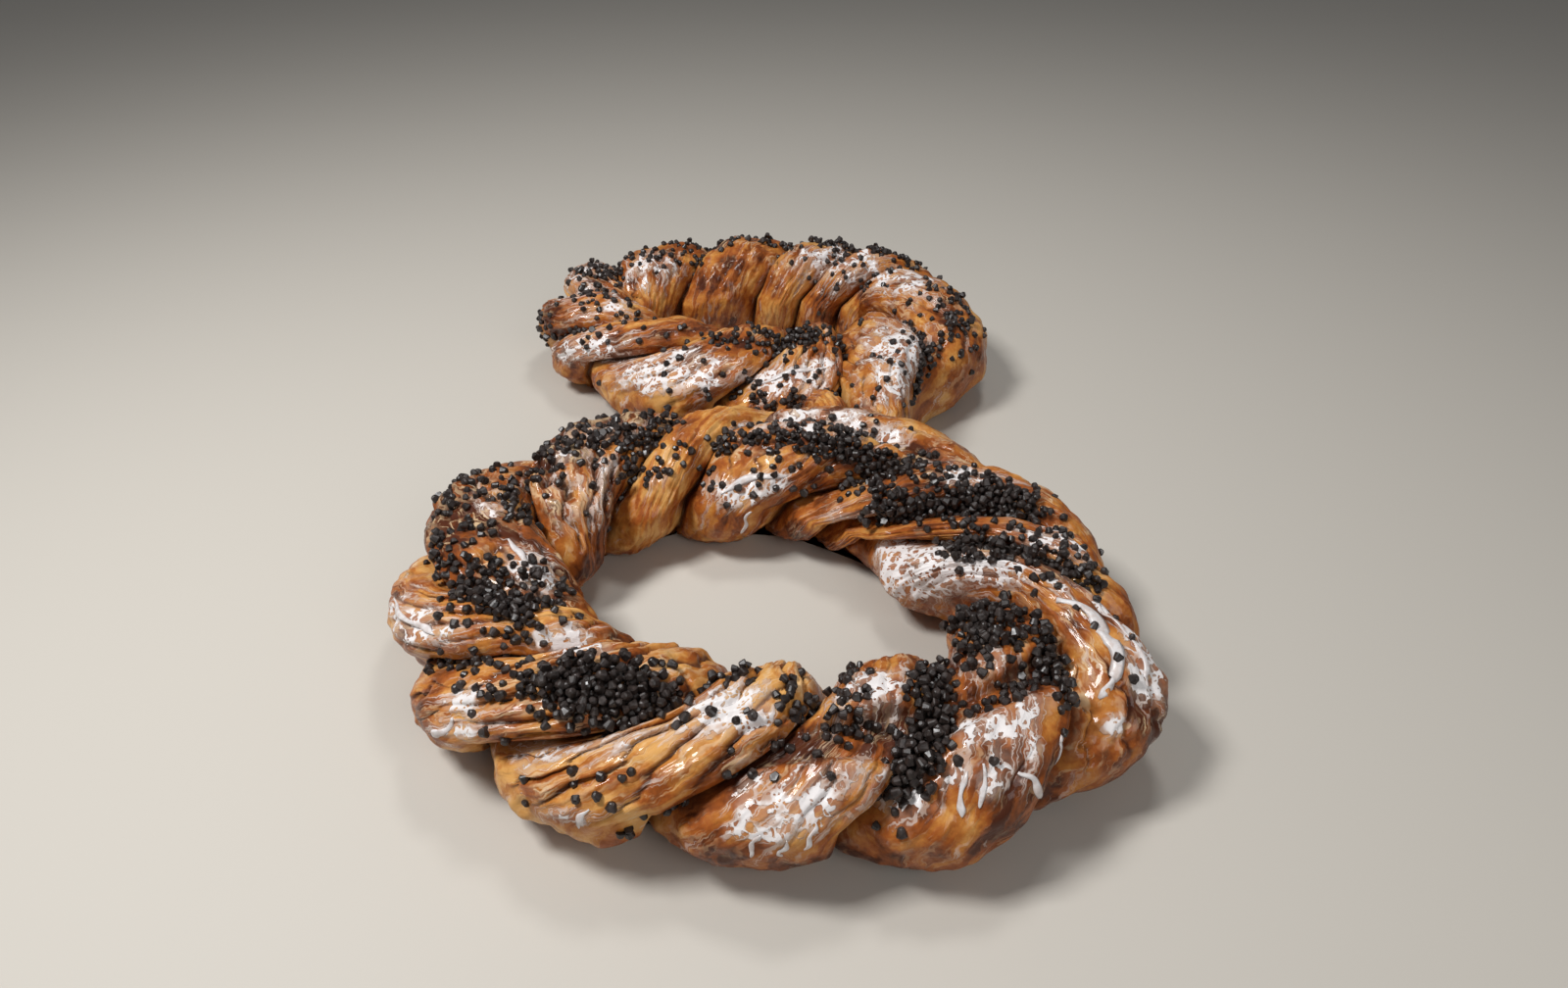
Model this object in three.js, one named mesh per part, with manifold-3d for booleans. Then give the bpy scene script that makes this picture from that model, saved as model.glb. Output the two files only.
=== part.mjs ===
// A large sweet bread in the shape of a figure eight, baked in one piece.
// Rolled ropes of layered dough are twisted, so that three strands wind round each rope.
// The front rope closes on itself; the back rope curls round a smaller hole, and its tail runs under the front ring.
// Chocolate drops stick in the grooves between the strands.
import * as THREE from "three";
import { mergeVertices } from "three/addons/utils/BufferGeometryUtils.js";
import Module from "manifold-3d";

// Sizes are in millimetres and angles in degrees.
// Ring angles run anticlockwise from the right-hand end, seen from above.
// Tube angles run from the outer side (0) over the crest (90) to the inner side (180).
const BASE_ANGLE = 65;
const CREST_EASE = 0.35;
const SIDE_ANGLE = 85;
const SIDE_SLANT = 0.3;
const GROOVE_DEPTH = 0.45;
const GROOVE_ROUNDNESS = 2.6;
const SADDLE_ANGLE = 70;
const SADDLE_WIDTH = 14;
const LAST_ROW_LIFT = 1.5;
const BASE_GROOVE_SHARE = 0.45;

// Each lobe is one strand where it shows, and starts at the groove that crosses these three ring angles.
// swell is its thickness, ridge the height of its layers and saddle the dip along its crest.
// drops counts the chocolate drops in its first groove.
const FRONT_RING = {
  centre: [12, 128],
  semiAxes: [160, 120],
  tilt: -10,
  halfWidth: 53,
  height: 75,
  flattened: 5,
  columns: 10,
  rows: 16,
  closed: true,
  // One strand bulges far into the hole; the rope is narrow at the right and broad beside that.
  bulges: [
    { at: 45, reach: 30, inner: 0.36, outer: 0.0 },
    { at: 45, reach: 18, inner: 0.0, outer: -0.18 },
    { at: 14, reach: 15, inner: 0.0, outer: -0.24 },
    { at: -16, reach: 11, inner: 0.0, outer: 0.11 },
    { at: -80, reach: 12, inner: 0.0, outer: -0.1 },
  ],
  lobes: [
    { outer: 211, crest: 231, inner: 250, swell: 1.0, ridge: 1.5, saddle: 0.0, drops: 5 },
    { outer: 230, crest: 261, inner: 271, swell: 1.01, ridge: 1.8, saddle: 0.0, drops: 10 },
    { outer: 262, crest: 283, inner: 291, swell: 0.99, ridge: 0.4, saddle: 0.16, drops: 5 },
    { outer: 292, crest: 306, inner: 328, swell: 1.03, ridge: 0.7, saddle: 0.08, drops: 8 },
    { outer: 321, crest: 341, inner: 368, swell: 1.05, ridge: 0.9, saddle: 0.0, drops: 8 },
    { outer: 368, crest: 363, inner: 439, swell: 0.94, ridge: 0.4, saddle: 0.0, drops: 10 },
    { outer: 371, crest: 387, inner: 443, swell: 0.98, ridge: 0.7, saddle: 0.0, drops: 6 },
    { outer: 397, crest: 417, inner: 455, swell: 1.04, ridge: 1.0, saddle: 0.14, drops: 6 },
    { outer: 446, crest: 465, inner: 480, swell: 0.95, ridge: 0.4, saddle: 0.0, drops: 4 },
    { outer: 468, crest: 483, inner: 507, swell: 1.0, ridge: 1.5, saddle: 0.0, drops: 5 },
    { outer: 500, crest: 521, inner: 546, swell: 0.98, ridge: 0.8, saddle: 0.05, drops: 5 },
    { outer: 532, crest: 571, inner: 598, swell: 0.96, ridge: 1.0, saddle: 0.0, drops: 9 },
  ],
};

const BACK_ROPE = {
  centre: [-9, 455],
  semiAxes: [136, 75],
  tilt: 0,
  halfWidth: 44,
  height: 74,
  flattened: 5,
  columns: 7,
  rows: 14,
  closed: false,
  // The tail leaves the curl at the right, runs forwards and dives under the front ring.
  tail: { from: -64, to: 35, forwards: 118, inwards: 22, thinFrom: -64, thinTo: -30, thin: 0.8 },
  // The curl is broad where the tail leaves it, and the tail itself is narrow.
  bulges: [
    { at: -8, reach: 26, inner: 0.38, outer: 0.0 },
    { at: 0, reach: 17, inner: 0.0, outer: 0.26 },
    { at: -27, reach: 14, inner: 0.0, outer: -0.52 },
  ],
  // The free end is pressed wide where it meets the front ring.
  end: { from: 210, to: 275, forwards: 8, wider: 0.66 },
  lobes: [
    { outer: -66, crest: -62, inner: -56, swell: 1.0, ridge: 0.8, saddle: 0.0, drops: 0 },
    { outer: -57, crest: -49, inner: -38, swell: 1.0, ridge: 1.2, saddle: 0.0, drops: 4 },
    { outer: -27, crest: -13, inner: 32, swell: 1.0, ridge: 0.8, saddle: 0.0, drops: 3 },
    { outer: 18, crest: 32, inner: 56, swell: 1.02, ridge: 0.5, saddle: 0.0, drops: 3 },
    { outer: 44, crest: 57, inner: 74, swell: 1.0, ridge: 1.3, saddle: 0.0, drops: 3 },
    { outer: 68, crest: 81, inner: 91, swell: 1.03, ridge: 0.5, saddle: 0.0, drops: 3 },
    { outer: 94, crest: 109, inner: 125, swell: 1.0, ridge: 0.7, saddle: 0.0, drops: 3 },
    { outer: 128, crest: 148, inner: 166, swell: 0.98, ridge: 0.8, saddle: 0.0, drops: 3 },
    { outer: 160, crest: 186, inner: 204, swell: 0.97, ridge: 0.7, saddle: 0.0, drops: 3 },
    { outer: 190, crest: 219, inner: 238, swell: 0.94, ridge: 0.7, saddle: 0.0, drops: 3 },
    { outer: 211, crest: 251, inner: 268, swell: 0.95, ridge: 1.0, saddle: 0.0, drops: 3 },
    { outer: 261, crest: 278, inner: 292, swell: 0.93, ridge: 1.2, saddle: 0.0, drops: 3 },
    { outer: 293, crest: 298, inner: 303, swell: 0.85, ridge: 0.0, saddle: 0.0, drops: 0 },
  ],
};

const DROP = { smallest: 6.8, largest: 9.2, tallness: 0.8, sunk: 0.25, sides: 5, rings: 3 };
// Drops lie from one tube angle to the other, within a share of the lobe beside the groove.
const DROP_BAND = { from: 40, to: 150, nearest: 0.04, farthest: 0.2, jitter: 0.6 };
const DROP_SEED = 8;
const RING_STEP = 0.5;
const TUBE_STEP = 2;
const ACROSS_STEP = 0.02;
const CRUST = { color: 0xa9622c, roughness: 0.42, metalness: 0.0 };

const wasm = await Module();
wasm.setup();

const { lerp, smoothstep, degToRad, euclideanModulo } = THREE.MathUtils;

// Centre line of a rope in plan at a ring angle.
function centreLine(rope, ringAngle) {
  const turn = degToRad(ringAngle);
  const point = new THREE.Vector2(rope.semiAxes[0] * Math.cos(turn), rope.semiAxes[1] * Math.sin(turn));
  if (rope.tail) {
    const tail = 1 - smoothstep(ringAngle, rope.tail.from, rope.tail.to);
    const end = smoothstep(ringAngle, rope.end.from, rope.end.to);
    point.x -= rope.tail.inwards * tail;
    point.y -= rope.tail.forwards * tail + rope.end.forwards * end;
  }
  point.rotateAround(new THREE.Vector2(), degToRad(rope.tilt));
  return point.add(new THREE.Vector2(...rope.centre));
}

// Level direction that points away from the rope's hole.
function outwardDirection(rope, ringAngle) {
  const ahead = centreLine(rope, ringAngle + RING_STEP);
  const along = ahead.sub(centreLine(rope, ringAngle - RING_STEP)).normalize();
  return new THREE.Vector2(along.y, -along.x);
}

// The groove at a lobe's start; past the last lobe of a closed ring it is the first one again.
function grooveAt(rope, index) {
  const count = rope.lobes.length;
  const lobe = rope.lobes[index % count];
  const lap = 360 * Math.floor(index / count);
  return { ...lobe, outer: lobe.outer + lap, crest: lobe.crest + lap, inner: lobe.inner + lap };
}

// Ring angle at which a groove crosses a tube angle, bending smoothly over the crest.
// Low on the sides it runs steeper down to the base.
function grooveAngle(groove, tubeAngle) {
  const fromCrest = tubeAngle - 90;
  const below = Math.max(Math.abs(fromCrest) - SIDE_ANGLE, 0);
  const t = (fromCrest - Math.sign(fromCrest) * below * (1 - SIDE_SLANT)) / 90;
  const bend = Math.hypot(t, CREST_EASE) - CREST_EASE;
  const outerRun = groove.crest - groove.outer;
  const innerRun = groove.inner - groove.crest;
  return groove.crest + (outerRun * (t - bend) + innerRun * (t + bend)) / 2;
}

// Thickness of the rope, 1 at full width, on one lobe from its first groove (across 0) to its second (1).
function thickness(rope, index, across, tubeAngle, column) {
  const count = rope.lobes.length;
  const own = rope.lobes[index % count];
  const next = rope.lobes[(index + 1) % count];
  const before = rope.lobes[(index + count - 1) % count];
  const neighbour = across < 0.5 ? before : next;
  const edge = Math.abs(2 * across - 1);
  const swell = lerp(own.swell, (own.swell + neighbour.swell) / 2, edge * edge);
  const fade = smoothstep(Math.abs(tubeAngle - 90), 90, 90 + BASE_ANGLE);
  const depth = GROOVE_DEPTH * lerp(1, BASE_GROOVE_SHARE, fade);
  const crown = 1 - depth * edge ** GROOVE_ROUNDNESS;
  const layer = (column % 2 === 0 ? -0.5 : 0.5) * own.ridge * (1 - edge);
  const dip = own.saddle * (1 - edge) * Math.exp(-(((tubeAngle - SADDLE_ANGLE) / SADDLE_WIDTH) ** 2));
  return swell * crown * (1 - dip) + layer / rope.halfWidth;
}

// A tail thins out to its tip.
function thinning(rope, ringAngle) {
  if (!rope.tail) return 1;
  return lerp(rope.tail.thin, 1, smoothstep(ringAngle, rope.tail.thinFrom, rope.tail.thinTo));
}

// Half of the rope's width: changed by the bulges, and wider on the outer side of a pressed end.
function halfWidth(rope, ringAngle, tubeAngle) {
  const inside = tubeAngle > 90;
  let wider = 0;
  for (const bulge of rope.bulges) {
    const away = euclideanModulo(ringAngle - bulge.at + 180, 360) - 180;
    wider += (inside ? bulge.inner : bulge.outer) * Math.exp(-((away / bulge.reach) ** 2));
  }
  if (rope.end && !inside) {
    wider += rope.end.wider * smoothstep(ringAngle, rope.end.from, rope.end.to);
  }
  return rope.halfWidth * (1 + wider);
}

// A point of the crust.
function crustPoint(rope, index, across, tubeAngle, column = 0) {
  const first = grooveAngle(grooveAt(rope, index), tubeAngle);
  const second = grooveAngle(grooveAt(rope, index + 1), tubeAngle);
  const ringAngle = lerp(first, second, across);
  const thick = thickness(rope, index, across, tubeAngle, column) * thinning(rope, ringAngle);
  const halfHeight = (rope.height + rope.flattened) / 2;
  const turn = degToRad(tubeAngle);
  const out = halfWidth(rope, ringAngle, tubeAngle) * thick * Math.cos(turn);
  const up = rope.height - halfHeight + halfHeight * thick * Math.sin(turn);
  const plan = centreLine(rope, ringAngle).addScaledVector(outwardDirection(rope, ringAngle), out);
  return new THREE.Vector3(plan.x, plan.y, Math.max(up, 0));
}

// Tube angle of a row, from the outer base edge over the crest to the inner base edge.
function rowAngle(rope, row) {
  return lerp(-BASE_ANGLE, 180 + BASE_ANGLE, row / rope.rows);
}

// All points of a rope's crust, column by column along the ring.
function crustColumns(rope) {
  const count = rope.closed ? rope.lobes.length : rope.lobes.length - 1;
  const last = count * rope.columns;
  const columns = [];
  for (let step = 0; step <= last - (rope.closed ? 1 : 0); step++) {
    const index = Math.min(Math.floor(step / rope.columns), count - 1);
    const across = step / rope.columns - index;
    const column = [];
    for (let row = 0; row <= rope.rows; row++) {
      const point = crustPoint(rope, index, across, rowAngle(rope, row), step);
      const atBase = row === 0 || row === rope.rows;
      const nearBase = row === 1 || row === rope.rows - 1;
      if (atBase) point.z = 0;
      if (nearBase) point.z = Math.max(point.z, LAST_ROW_LIFT);
      column.push(point);
    }
    columns.push(column);
  }
  return columns;
}

// The flat base between the outer and the inner base edge.
function baseTriangles(rope, columns) {
  const flat = (row) => columns.map((column) => new THREE.Vector2(column[row].x, column[row].y));
  const name = (row) => columns.map((column, index) => index * (rope.rows + 1) + row);
  const outer = flat(0);
  const inner = flat(rope.rows).reverse();
  const outerNames = name(0);
  const innerNames = name(rope.rows).reverse();
  const faces = rope.closed
    ? THREE.ShapeUtils.triangulateShape(outer, [inner])
    : THREE.ShapeUtils.triangulateShape([...outer, ...inner], []);
  const names = [...outerNames, ...innerNames];
  return faces.flatMap(([a, b, c]) => [names[a], names[c], names[b]]);
}

// A fan over one open end of a rope, round a point in the middle of it.
function endTriangles(rope, start, middle, facesBack) {
  const triangles = [];
  for (let row = 0; row <= rope.rows; row++) {
    const here = start + row;
    const there = start + ((row + 1) % (rope.rows + 1));
    triangles.push(...(facesBack ? [middle, here, there] : [middle, there, here]));
  }
  return triangles;
}

// Closed surface of one rope.
function ropeGeometry(rope) {
  const columns = crustColumns(rope);
  const high = rope.rows + 1;
  const points = columns.flat();
  const triangles = [];
  const spans = rope.closed ? columns.length : columns.length - 1;
  for (let step = 0; step < spans; step++) {
    const next = (step + 1) % columns.length;
    for (let row = 0; row < rope.rows; row++) {
      const a = step * high + row;
      const b = next * high + row;
      triangles.push(a, b, b + 1, a, b + 1, a + 1);
    }
  }
  triangles.push(...baseTriangles(rope, columns));
  if (!rope.closed) {
    for (const column of [columns[0], columns.at(-1)]) {
      const middle = new THREE.Vector3();
      column.forEach((point) => middle.addScaledVector(point, 1 / column.length));
      const start = columns.indexOf(column) * high;
      triangles.push(...endTriangles(rope, start, points.length, column === columns[0]));
      points.push(middle);
    }
  }
  const geometry = new THREE.BufferGeometry().setFromPoints(points);
  geometry.setIndex(triangles);
  return geometry;
}

// A geometry as a solid that can be joined.
function solidOf(geometry) {
  geometry.deleteAttribute("normal");
  geometry.deleteAttribute("uv");
  const merged = mergeVertices(geometry);
  const vertProperties = new Float32Array(merged.attributes.position.array);
  const triVerts = new Uint32Array(merged.index.array);
  return new wasm.Manifold(new wasm.Mesh({ numProp: 3, vertProperties, triVerts }));
}

// Seeded random numbers from 0 to 1.
function randomDraws(seed) {
  let state = seed;
  return () => {
    state = (state * 1664525 + 1013904223) % 4294967296;
    return state / 4294967296;
  };
}

// One chocolate drop, partly sunk in the crust at a point.
function chocolateDrop(rope, index, across, tubeAngle, draw) {
  const here = crustPoint(rope, index, across, tubeAngle);
  const along = crustPoint(rope, index, across + ACROSS_STEP, tubeAngle).sub(here);
  const around = crustPoint(rope, index, across, tubeAngle + TUBE_STEP).sub(here);
  const normal = along.cross(around).normalize();
  const size = lerp(DROP.smallest, DROP.largest, draw());
  const drop = new THREE.SphereGeometry(size / 2, DROP.sides, DROP.rings);
  drop.rotateX(Math.PI / 2);
  drop.rotateZ(2 * Math.PI * draw());
  drop.scale(1, 1, DROP.tallness);
  drop.applyQuaternion(new THREE.Quaternion().setFromUnitVectors(new THREE.Vector3(0, 0, 1), normal));
  const lift = size * (DROP.tallness / 2 - DROP.sunk);
  drop.translate(here.x + normal.x * lift, here.y + normal.y * lift, here.z + normal.z * lift);
  return solidOf(drop);
}

// The drops of one rope, spread along its grooves.
function chocolateDrops(rope, draw) {
  const drops = [];
  const count = rope.closed ? rope.lobes.length : rope.lobes.length - 1;
  for (let index = 0; index < count; index++) {
    const total = rope.lobes[index].drops;
    for (let number = 0; number < total; number++) {
      const share = (number + 0.5 + DROP_BAND.jitter * (draw() - 0.5)) / total;
      const tubeAngle = lerp(DROP_BAND.from, DROP_BAND.to, share);
      const across = lerp(DROP_BAND.nearest, DROP_BAND.farthest, draw());
      drops.push(chocolateDrop(rope, index, across, tubeAngle, draw));
    }
  }
  return drops;
}

const draw = randomDraws(DROP_SEED);
const ropes = [FRONT_RING, BACK_ROPE];
let bread = ropes.map((rope) => solidOf(ropeGeometry(rope))).reduce((whole, rope) => whole.add(rope));
for (const rope of ropes) {
  for (const drop of chocolateDrops(rope, draw)) {
    bread = bread.add(drop);
  }
}

const { numProp, vertProperties, triVerts } = bread.getMesh();
const surface = new THREE.BufferGeometry();
surface.setAttribute("position", new THREE.BufferAttribute(vertProperties, numProp));
surface.setIndex(new THREE.BufferAttribute(triVerts, 1));
surface.computeBoundingBox();
const middle = surface.boundingBox.getCenter(new THREE.Vector3());
surface.translate(-middle.x, -middle.y, -surface.boundingBox.min.z);
surface.computeVertexNormals();

const braidedBread = new THREE.Mesh(surface, new THREE.MeshStandardMaterial(CRUST));
braidedBread.name = "braided_bread";

const part = new THREE.Group();
part.add(braidedBread);

export default part;
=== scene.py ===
import math

import bmesh
import bpy
import numpy as np
from mathutils import Matrix, Vector


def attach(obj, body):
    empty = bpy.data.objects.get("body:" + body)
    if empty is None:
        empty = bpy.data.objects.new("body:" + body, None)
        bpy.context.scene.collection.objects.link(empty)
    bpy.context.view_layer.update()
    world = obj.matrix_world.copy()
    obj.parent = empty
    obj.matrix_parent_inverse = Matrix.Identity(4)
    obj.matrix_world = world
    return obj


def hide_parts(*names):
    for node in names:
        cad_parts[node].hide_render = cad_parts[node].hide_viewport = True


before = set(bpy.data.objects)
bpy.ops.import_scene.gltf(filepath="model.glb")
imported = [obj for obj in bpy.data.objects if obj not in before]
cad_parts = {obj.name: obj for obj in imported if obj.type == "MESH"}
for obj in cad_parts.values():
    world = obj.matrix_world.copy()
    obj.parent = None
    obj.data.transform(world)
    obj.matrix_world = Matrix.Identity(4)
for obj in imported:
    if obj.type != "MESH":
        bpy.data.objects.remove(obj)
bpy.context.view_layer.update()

# Dough ropes
# The loaf is baked in one piece from layered yeast dough: a thick twisted rope closes on itself as the
# front ring, and a thinner one curls round the small hole behind it, its tail pushed under the front ring.
# Each strand is a rounded lobe with a steep nose over the next one, and cut strands show their layers.

# Lengths are in millimetres and angles in degrees. Ring angles run anticlockwise from the right-hand end,
# tube angles from the outer side (0) over the crest (90) to the inner side (180).
MM = 0.001
# The middle of the loaf in plan, which becomes the origin.
LOAF_MIDDLE = np.array([8.5487, 267.4336])
# The tube runs on below its sides to the base. A groove bends gently over the crest, and slants less low
# on the sides.
BASE_ANGLE = 65
CREST_EASE = 0.35
SIDE_ANGLE = 85
SIDE_SLANT = 0.3
# A groove's depth as a share of the rope, and how much of it is lost towards the base; the place of the
# crown across a strand, and how steeply the strand rises to it and falls from it.
GROOVE_DEPTH = 0.5
GROOVE_FADE = 0.55
CROWN_AT = 0.52
RISE_POWER = 2.3
FALL_POWER = 3.4
# The nose: how far the end of a strand reaches over the next one, the least share of that low on the sides,
# and where across the strand it begins and ends.
NOSE_REACH = 0.12
NOSE_LOW = 0.45
NOSE_RISES = (0.5, 0.9)
NOSE_ENDS = (0.93, 1.0)
# The dip across some strands: how wide its banks are, and how far it widens towards the grooves.
DIP_BANK = 5
DIP_ARCH = 16

# Columns: the ring angles of the strand's first groove at the outer side, crest and inner side; swell;
# depth of a dip across it and the tube angles it lies between; number of dough layers and their relief;
# tone from pale gold (-1) to dark (1).
# Bulges: ring angle, reach, and by how much the inner and the outer half widen.
SWELL_COLUMN = 3
RELIEF_COLUMN = 8
TONE_COLUMN = 9
front_ring = {
    "centre": (12, 128),
    "semi_axes": (160, 120),
    "tilt": -10,
    "half_width": 53,
    "height": 75,
    "flattened": 5,
    "bulges": (
        (45, 30, 0.36, 0.0),
        (45, 18, 0.0, -0.18),
        (14, 15, 0.0, -0.24),
        (-16, 11, 0.0, 0.11),
        (-80, 12, 0.0, -0.1),
    ),
    "strands": [
        (211, 231, 250, 1.00, 0.00, 60, 80, 5, 5.0, -0.2),
        (230, 261, 271, 1.01, 0.00, 60, 80, 6, 5.5, -1.0),
        (262, 283, 291, 0.99, 0.30, 66, 88, 6, 1.6, 0.25),
        (292, 306, 328, 1.03, 0.20, 74, 84, 5, 1.2, 1.0),
        (321, 341, 368, 1.05, 0.00, 60, 80, 6, 4.2, 0.75),
        (368, 363, 439, 0.94, 0.00, 60, 80, 5, 1.0, 0.5),
        (371, 387, 443, 0.98, 0.00, 60, 80, 5, 2.2, 0.4),
        (397, 417, 455, 1.04, 0.22, 78, 88, 6, 2.8, 0.0),
        (446, 465, 480, 0.95, 0.00, 60, 80, 4, 0.6, -0.9),
        (468, 483, 507, 1.00, 0.00, 60, 80, 4, 7.0, 0.8),
        (500, 521, 546, 0.98, 0.00, 60, 80, 4, 4.5, 0.8),
        (532, 571, 598, 0.96, 0.00, 60, 80, 5, 3.0, -0.4),
        (571, 591, 610, 1.00, 0.00, 60, 80, 5, 5.0, -0.2),
    ],
}
back_rope = {
    "centre": (-9, 455),
    "semi_axes": (136, 75),
    "tilt": 0,
    "half_width": 44,
    "height": 74,
    "flattened": 5,
    "bulges": ((-8, 26, 0.38, 0.0), (0, 17, 0.0, 0.26), (-27, 14, 0.0, -0.52)),
    "tail": {"from": -64, "to": 35, "forwards": 118, "inwards": 22, "thin_to": -30, "thin": 0.8},
    "end": {"from": 210, "to": 275, "forwards": 8, "wider": 0.66},
    "strands": [
        (-66, -62, -56, 1.00, 0.0, 60, 80, 4, 0.8, 0.0),
        (-57, -49, -38, 1.00, 0.0, 60, 80, 5, 3.0, 0.0),
        (-27, -13, 32, 1.00, 0.0, 60, 80, 6, 2.2, -0.1),
        (18, 32, 56, 1.02, 0.0, 60, 80, 4, 2.4, 0.1),
        (44, 57, 74, 1.00, 0.0, 60, 80, 4, 4.0, -0.3),
        (68, 81, 91, 1.03, 0.0, 60, 80, 3, 2.2, 0.6),
        (94, 109, 125, 1.00, 0.0, 60, 80, 4, 2.6, 0.3),
        (128, 148, 166, 0.98, 0.0, 60, 80, 5, 2.6, 0.0),
        (160, 186, 204, 0.97, 0.0, 60, 80, 5, 1.4, 0.0),
        (190, 219, 238, 0.94, 0.0, 60, 80, 5, 1.2, 0.0),
        (211, 251, 268, 0.95, 0.0, 60, 80, 6, 2.2, -0.2),
        (261, 278, 292, 0.93, 0.0, 60, 80, 6, 3.0, -0.2),
        (293, 298, 303, 0.85, 0.0, 60, 80, 4, 0.0, 0.0),
    ],
}

# Ripples of the dough: twelve cross each other, with lengths spread about the one that is asked for.
RIPPLES = 12
RIPPLE_SPREAD = (0.7, 1.4)


def smoothstep(value, low, high):
    share = np.clip((value - low) / (high - low), 0, 1)
    return share * share * (3 - 2 * share)


def between(value, rises, ends):
    """1 between two slopes, and 0 beyond them."""
    return smoothstep(value, *rises) * (1 - smoothstep(value, *ends))


def waves(points, amount, wavelength, seed):
    """Uneven ripples of about one wavelength, with a mean of 0 and a spread of the amount."""
    draw = np.random.default_rng(seed)
    direction = draw.normal(size=(points.shape[1], RIPPLES))
    direction /= np.linalg.norm(direction, axis=0)
    pace = 2 * np.pi / wavelength * draw.uniform(*RIPPLE_SPREAD, RIPPLES)
    phase = draw.uniform(0, 2 * np.pi, RIPPLES)
    return amount * (np.sin(points @ direction * pace + phase).sum(1) / np.sqrt(RIPPLES / 2))


def centre_line(rope, ring):
    turn = np.radians(ring)
    x = rope["semi_axes"][0] * np.cos(turn)
    y = rope["semi_axes"][1] * np.sin(turn)
    if "tail" in rope:
        tail = 1 - smoothstep(ring, rope["tail"]["from"], rope["tail"]["to"])
        end = smoothstep(ring, rope["end"]["from"], rope["end"]["to"])
        x = x - rope["tail"]["inwards"] * tail
        y = y - rope["tail"]["forwards"] * tail - rope["end"]["forwards"] * end
    tilt = math.radians(rope["tilt"])
    plan = np.stack([x * math.cos(tilt) - y * math.sin(tilt), x * math.sin(tilt) + y * math.cos(tilt)], 1)
    return plan + np.array(rope["centre"]) - LOAF_MIDDLE


def groove_angle(groove, tube):
    """Ring angle at which a groove crosses a tube angle, bending smoothly over the crest."""
    outer, crest, inner = groove
    from_crest = tube - 90
    below = np.maximum(np.abs(from_crest) - SIDE_ANGLE, 0)
    t = (from_crest - np.sign(from_crest) * below * (1 - SIDE_SLANT)) / 90
    bend = np.hypot(t, CREST_EASE) - CREST_EASE
    return crest + ((crest - outer) * (t - bend) + (inner - crest) * (t + bend)) / 2


# Where sugar icing was brushed and poured on.
# Columns: strand position and tube angle of the patch's middle, its reach in both, and how thick it lies.
front_ring["icing"] = (
    (0.36, 103, 0.14, 9, 1.00),
    (0.45, 40, 0.22, 12, 0.78),
    (0.66, 23, 0.12, 8, 1.15),
    (1.53, 87, 0.20, 17, 1.35),
    (1.24, 60, 0.10, 18, 0.85),
    (1.13, 26, 0.10, 16, 0.85),
    (1.60, 12, 0.10, 10, 0.65),
    (2.54, 38, 0.32, 19, 1.00),
    (2.45, 19, 0.16, 6, 1.30),
    (2.50, 104, 0.26, 14, 1.10),
    (3.42, 62, 0.27, 9, 1.02),
    (3.40, 45, 0.22, 13, 0.7),
    (3.12, 34, 0.09, 12, 0.65),
    (3.40, 100, 0.14, 10, 0.60),
    (4.63, 44, 0.15, 20, 0.90),
    (4.27, 30, 0.07, 7, 1.00),
    (4.78, 60, 0.12, 18, 0.80),
    (4.54, 94, 0.10, 12, 0.85),
    (4.56, 160, 0.38, 32, 1.32),
    (5.45, 96, 0.25, 14, 0.62),
    (4.45, 125, 0.22, 16, 1.08),
    (5.66, 76, 0.16, 12, 1.00),
    (6.50, 94, 0.26, 10, 0.90),
    (6.35, 155, 0.30, 14, 0.70),
    (7.62, 150, 0.22, 13, 1.10),
    (7.60, 80, 0.36, 16, 0.58),
    (7.55, 98, 0.30, 6, 0.58),
    (8.10, 95, 0.10, 20, 0.70),
    (9.50, 110, 0.25, 36, 0.65),
    (10.38, 88, 0.12, 14, 0.70),
    (10.68, 121, 0.12, 12, 0.90),
    (11.62, 42, 0.22, 20, 1.02),
    (11.88, 113, 0.12, 14, 1.10),
)
back_rope["icing"] = (
    (1.65, 82, 0.36, 40, 0.96),
    (2.75, 105, 0.42, 30, 0.92),
    (3.45, 122, 0.34, 34, 0.74),
    (4.30, 105, 0.35, 36, 0.76),
    (6.55, 112, 0.30, 24, 0.88),
    (7.50, 70, 0.42, 26, 0.80),
    (8.40, 83, 0.50, 28, 0.78),
    (9.60, 32, 0.50, 28, 0.78),
    (10.50, 40, 0.42, 24, 1.00),
    (11.38, 45, 0.44, 15, 1.02),
)

# Where the heaps of chocolate drops lie in a hollow of the crust.
# Columns: strand position and tube angle of the hollow's middle, its reach in both, and its depth.
front_ring["hollows"] = (
    (0.74, 82, 0.20, 14, 9),
    (3.12, 74, 0.08, 22, 5),
    (3.52, 116, 0.18, 14, 4),
    (5.02, 112, 0.16, 20, 5),
    (6.18, 114, 0.16, 20, 5),
    (10.86, 104, 0.10, 20, 5),
    (11.42, 93, 0.20, 11, 4),
)
back_rope["hollows"] = ((11.25, 84, 0.40, 8, 4),)

# Where the crust is darker, round the heaps of chocolate drops.
# Columns: strand position and tube angle of the spot's middle, its reach in both, and how dark it is.
front_ring["stains"] = (
    (0.74, 82, 0.24, 15, 0.35),
    (2.45, 79, 0.30, 8, 0.30),
    (3.11, 76, 0.08, 24, 0.35),
    (5.05, 110, 0.20, 20, 0.30),
    (6.18, 114, 0.20, 22, 0.30),
    (7.40, 110, 0.40, 8, 0.30),
    (9.50, 84, 0.34, 30, 0.40),
    (10.55, 56, 0.30, 26, 0.50),
    (10.84, 104, 0.12, 22, 0.35),
    (11.42, 93, 0.24, 12, 0.35),
)
back_rope["stains"] = (
    (2.20, 60, 0.25, 24, 0.25),
    (8.70, 44, 0.40, 26, 0.35),
    (11.25, 84, 0.45, 10, 0.35),
)


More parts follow.
